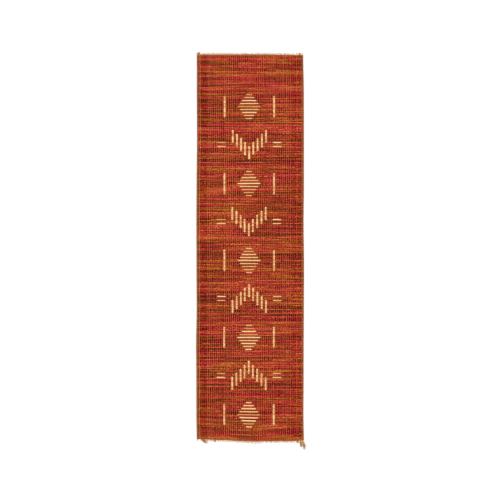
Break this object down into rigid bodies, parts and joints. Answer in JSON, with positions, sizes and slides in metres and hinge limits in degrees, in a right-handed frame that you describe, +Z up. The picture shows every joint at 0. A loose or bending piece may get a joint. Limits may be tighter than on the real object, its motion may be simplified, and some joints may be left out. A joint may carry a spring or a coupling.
{
  "type": "rush runner rug",
  "caption": "Long narrow flat rug of dyed rushes woven across twine warps, with an inlaid pale straw pattern and short loose warp ends at both of its ends.",
  "frame": {"origin": "under the middle of the rug's overall bounds, at the level of the floor that it lies on", "axes": "+Y along the rug, towards the end that is at the top in the picture; +Z up, out of the face that shows"},
  "size_m": [0.6096, 2.2168, 0.004],
  "materials": {
    "dyed_rush": "matt woven rush in streaks of brick red, crimson, orange and olive",
    "warp_twine": "matt plied twine, tan brown",
    "pale_straw": "soft satin undyed straw"
  },
  "bodies": {
    "root": {"mat": "dyed_rush", "warp_ends_top": "warp_twine", "warp_ends_bottom": "warp_twine"}
  },
  "joints": []
}
